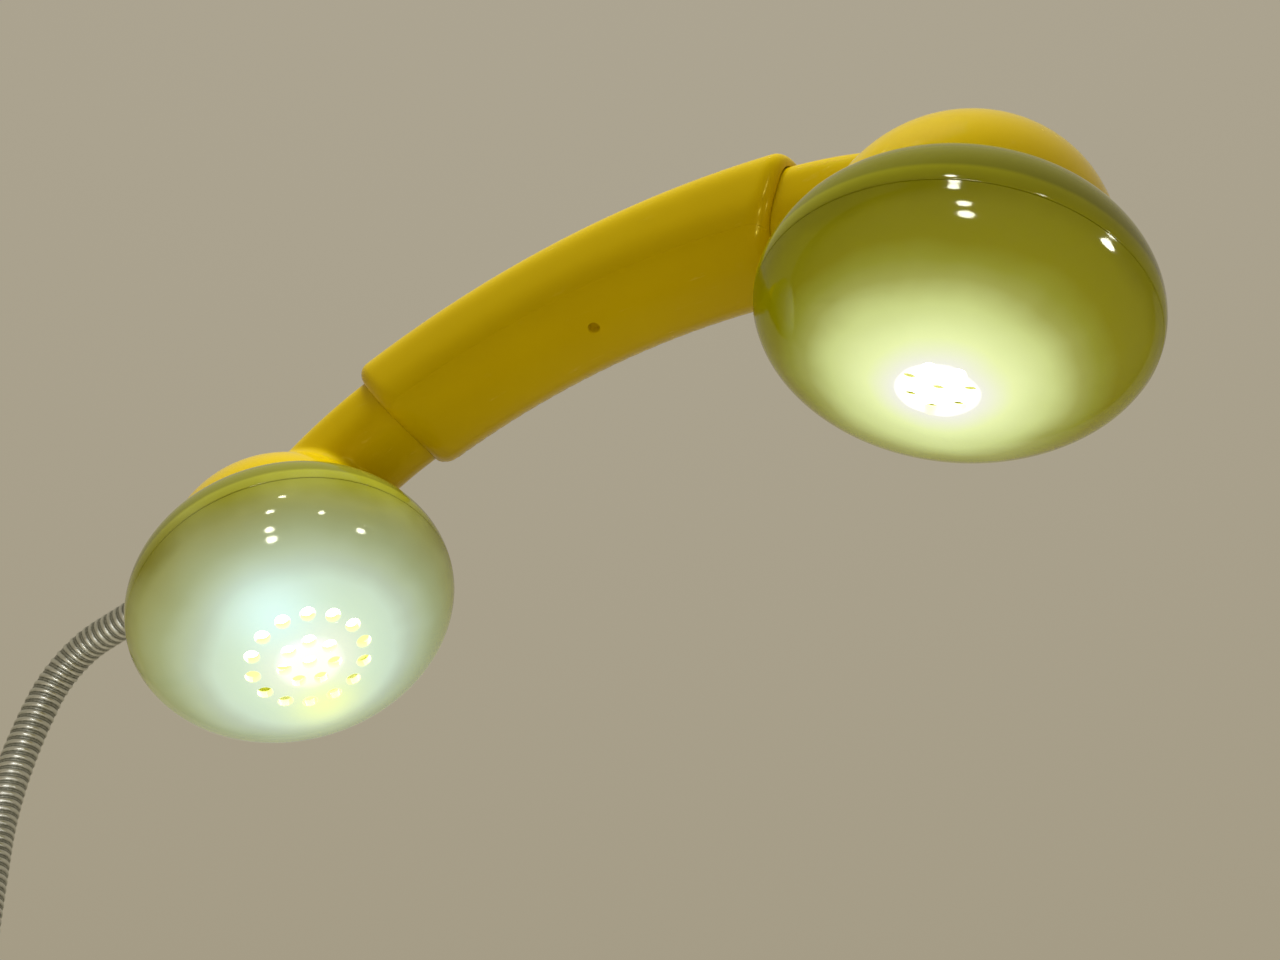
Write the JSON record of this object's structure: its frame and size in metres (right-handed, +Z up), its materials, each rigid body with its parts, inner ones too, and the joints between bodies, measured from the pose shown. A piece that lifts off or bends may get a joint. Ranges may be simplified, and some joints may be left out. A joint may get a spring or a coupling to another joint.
{
  "type": "handset lamp",
  "caption": "Telephone-handset-shaped lamp: arched grip between round, perforated, glowing caps that unscrew, carried on a bendable steel gooseneck arm with a threaded foot stub.",
  "frame": {"origin": "centre of the foot face, where the arm's ferrule sits on the panel that carries it", "axes": "+Z up along the foot of the arm, +X from the mouth end to the ear end of the handset, Y across the handset"},
  "size_m": [0.2674, 0.068, 0.3157],
  "materials": {
    "yellow_shell": "high-gloss moulded yellow plastic",
    "green_cap": "glossy translucent olive-green plastic",
    "arm_steel": "wound steel armour, satin",
    "turned_steel": "turned steel, satin",
    "stub_brass": "plain brass",
    "black_rubber": "matt rubber",
    "lead_sheath": "smooth cable sheath",
    "heat_metal": "natural aluminium",
    "board_white": "white coated circuit board",
    "chip_light": "lit white light chips",
    "clear_cover": "clear moulded cover",
    "screw_steel": "plated screws",
    "board_green": "green circuit board",
    "part_dark": "dark component bodies",
    "part_blue": "sleeved capacitors",
    "nylon": "natural nylon"
  },
  "bodies": {
    "arm_foot": {"foot_ferrule": "turned_steel", "foot_stub": "stub_brass", "foot_bush": "black_rubber", "arm_foot_tube": "arm_steel", "arm_foot_lead": "lead_sheath"},
    "arm_low": {"arm_low_tube": "arm_steel", "arm_low_lead": "lead_sheath"},
    "arm_mid": {"arm_mid_tube": "arm_steel", "arm_mid_lead": "lead_sheath"},
    "ear_ring": {"ear_gasket": "black_rubber"},
    "ear_cap": {"ear_dome": "green_cap"},
    "mouth_ring": {"mouth_gasket": "black_rubber"},
    "mouth_cap": {"mouth_dome": "green_cap"},
    "handset": {"arm_top_tube": "arm_steel", "arm_top_lead": "lead_sheath", "arm_ferrule": "turned_steel", "ferrule_nut": "turned_steel", "ferrule_washer": "turned_steel", "grip_shell": "yellow_shell", "grip_strip": "yellow_shell", "grip_screw": "screw_steel", "spine": "turned_steel", "spine_screws": "screw_steel", "ear_housing": "yellow_shell", "mouth_housing": "yellow_shell", "ear_collar": "green_cap", "mouth_collar": "green_cap", "ear_heatsink": "heat_metal", "mouth_heatsink": "heat_metal", "ear_board": "board_white", "mouth_board": "board_white", "led_chips": "chip_light", "ear_lens": "clear_cover", "mouth_lens": "clear_cover", "lens_screws": "screw_steel", "driver_board": "board_green", "driver_choke": "part_dark", "driver_chip": "part_dark", "driver_caps": "part_blue", "driver_posts": "nylon", "ear_lead": "lead_sheath", "mouth_lead": "lead_sheath"}
  },
  "joints": [
    {"name": "arm_bend_low", "type": "hinge", "parent": "arm_foot", "child": "arm_low", "pos_m": [0, 0, 0.045], "axis": [0, 1, 0], "range_deg": [-25, 25]},
    {"name": "arm_sway", "type": "hinge", "parent": "arm_low", "child": "arm_mid", "pos_m": [-0.00923, 0, 0.18081], "axis": [0.9542, 0, 0.299], "range_deg": [-28, 28]},
    {"name": "arm_bend_high", "type": "hinge", "parent": "arm_mid", "child": "handset", "pos_m": [0.00574, 0, 0.24716], "axis": [0, 1, 0], "range_deg": [-28, 28]},
    {"name": "ear_cap_turn", "type": "hinge", "parent": "handset", "child": "ear_ring", "pos_m": [0.21409, 0, 0.22688], "axis": [-0.3322, 0, -0.9432], "range_deg": [0, 540]},
    {"name": "ear_cap_rise", "type": "slide", "parent": "ear_ring", "child": "ear_cap", "axis": [-0.3322, 0, -0.9432], "range_m": [0, 0.00376]},
    {"name": "mouth_cap_turn", "type": "hinge", "parent": "handset", "child": "mouth_ring", "pos_m": [0.06709, 0, 0.22688], "axis": [0.4067, 0, -0.9135], "range_deg": [0, 540]},
    {"name": "mouth_cap_rise", "type": "slide", "parent": "mouth_ring", "child": "mouth_cap", "axis": [0.4067, 0, -0.9135], "range_m": [0, 0.00376]}
  ],
  "couplings": [
    {"joint": "ear_cap_rise", "follows": "ear_cap_turn", "m_per_rad": 0.00039789},
    {"joint": "mouth_cap_rise", "follows": "mouth_cap_turn", "m_per_rad": 0.00039789}
  ]
}
